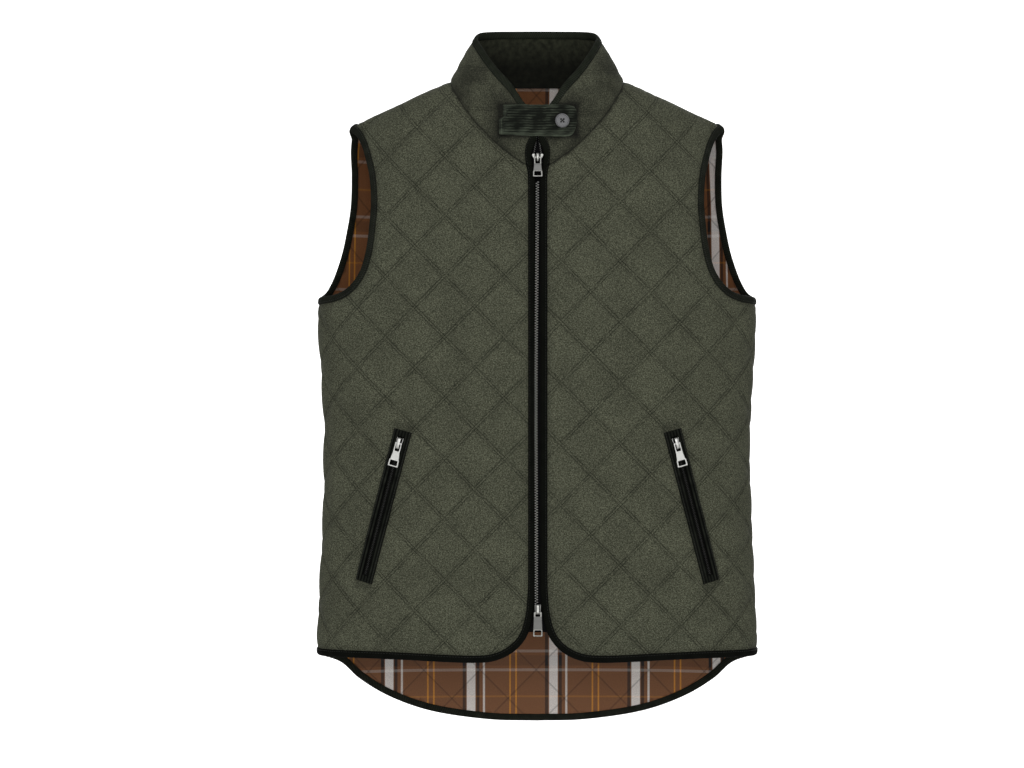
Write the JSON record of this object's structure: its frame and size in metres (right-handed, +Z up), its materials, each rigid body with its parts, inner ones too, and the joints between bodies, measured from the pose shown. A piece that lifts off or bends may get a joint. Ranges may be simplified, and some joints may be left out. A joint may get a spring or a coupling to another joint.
{
  "type": "quilted stand-collar vest",
  "caption": "Men's diamond-quilted vest with a stand collar, buttoned throat tab, two-way front zip, zipped welt pockets and a dropped tail.",
  "frame": {"origin": "middle of the neck, level with the points where the shoulder seams meet the collar", "axes": "+Z up to the collar, -Y out of the front, +X to the wearer's left"},
  "size_m": [0.496, 0.2009, 0.7972],
  "materials": {
    "shell": "matt heathered olive wool twill, quilted",
    "lining": "smooth checked cotton lining",
    "binding": "matt ribbed black-green binding",
    "facing": "brushed dark olive",
    "corduroy": "fine dark corduroy",
    "tape": "woven black zip tape",
    "teeth": "dull metal zip teeth",
    "nickel": "bright nickel",
    "horn": "grey horn-look button"
  },
  "bodies": {
    "vest": {"front_right": "shell", "front_left": "shell", "back": "shell", "back_lining": "lining", "tail_binding": "binding", "front_binding_right": "binding", "front_binding_left": "binding", "armhole_binding_right": "binding", "armhole_binding_left": "binding", "collar": "shell", "collar_facing": "facing", "collar_binding": "binding", "throat_tab": "corduroy", "tab_button": "horn", "zip_tape_right": "tape", "zip_tape_left": "tape", "zip_teeth": "teeth", "zip_slider_top": "nickel", "zip_slider_bottom": "nickel", "pocket_welt_right": "binding", "pocket_welt_left": "binding", "pocket_zip_right": "teeth", "pocket_zip_left": "teeth", "pocket_slider_right": "nickel", "pocket_slider_left": "nickel"},
    "top_pull": {"zip_pull_top": "nickel"},
    "bottom_pull": {"zip_pull_bottom": "nickel"},
    "pocket_pull_r": {"pocket_pull_right": "nickel"},
    "pocket_pull_l": {"pocket_pull_left": "nickel"}
  },
  "joints": [
    {"name": "top_pull_lift", "type": "hinge", "parent": "vest", "child": "top_pull", "pos_m": [0, -0.08048, -0.09048], "axis": [-1, 0, 0], "range_deg": [0, 140]},
    {"name": "bottom_pull_lift", "type": "hinge", "parent": "vest", "child": "bottom_pull", "pos_m": [0, -0.09667, -0.59015], "axis": [-1, 0, 0], "range_deg": [0, 140]},
    {"name": "right_pocket_pull_lift", "type": "hinge", "parent": "vest", "child": "pocket_pull_r", "pos_m": [-0.15257, -0.08826, -0.40493], "axis": [-0.9491, 0.1786, 0.2593], "range_deg": [0, 140]},
    {"name": "left_pocket_pull_lift", "type": "hinge", "parent": "vest", "child": "pocket_pull_l", "pos_m": [0.15257, -0.08826, -0.40493], "axis": [-0.9491, -0.1786, -0.2593], "range_deg": [0, 140]}
  ]
}
